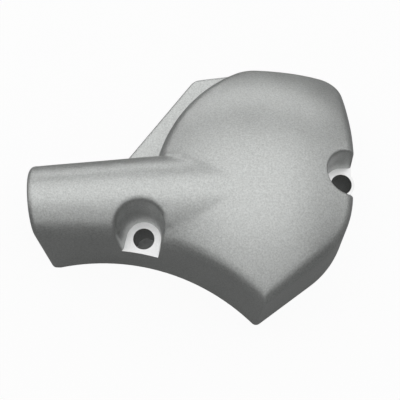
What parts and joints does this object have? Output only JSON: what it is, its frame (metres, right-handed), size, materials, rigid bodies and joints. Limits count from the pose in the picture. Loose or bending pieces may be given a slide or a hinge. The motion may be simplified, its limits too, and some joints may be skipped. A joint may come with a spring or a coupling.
{
  "type": "oil pump cover",
  "caption": "Domed cast cover for a motorbike engine's oil pump, with a half-round tunnel, a low shelf and screw seats sunk in pockets.",
  "frame": {"origin": "axis of the tunnel-side screw hole, on the rim that meets the engine", "axes": "+Z points away from the engine along the screws, +X runs from the tunnel's mouth towards the dome, +Y towards the dome's flat far side"},
  "size_m": [0.1004, 0.0824, 0.0397],
  "materials": {
    "cast_aluminium": "fine blasted satin, with milled screw seats"
  },
  "bodies": {
    "root": {"oil_pump_cover": "cast_aluminium"}
  },
  "joints": []
}
